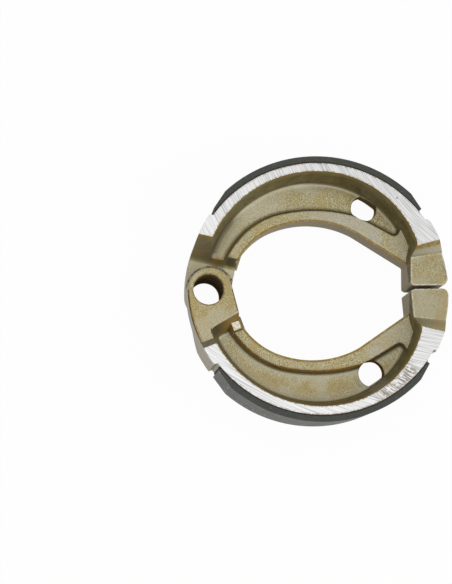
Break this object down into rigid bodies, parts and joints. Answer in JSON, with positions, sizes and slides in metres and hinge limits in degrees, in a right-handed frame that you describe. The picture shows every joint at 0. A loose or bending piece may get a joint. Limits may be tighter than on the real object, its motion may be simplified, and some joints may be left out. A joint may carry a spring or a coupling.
{
  "type": "drum brake shoe pair",
  "caption": "Matched pair of drum brake shoes: lapped eyes on one anchor bore, ribbed crescent castings, bonded curved linings and flat cam pads.",
  "frame": {"origin": "on the anchor bore's axis, half way through the 25 mm width", "axes": "+Z along the anchor bore, towards the face on which the lower shoe's eye lies on top; +X along the pair's line of symmetry, from the anchor to the cam; +Y towards the upper shoe"},
  "size_m": [0.1047, 0.1062, 0.025],
  "materials": {
    "casting": "die-cast, olive-gold conversion coat, machined bright on the rim's side faces",
    "lining": "ground resin-bonded friction material"
  },
  "bodies": {
    "lower": {"lower_shoe": "casting", "lower_lining": "lining"},
    "upper": {"upper_shoe": "casting", "upper_lining": "lining"}
  },
  "joints": [
    {"name": "shoe_pivot", "type": "hinge", "parent": "lower", "child": "upper", "pos_m": [0, 0, 0], "axis": [0, 0, 1], "range_deg": [0, 10]}
  ]
}
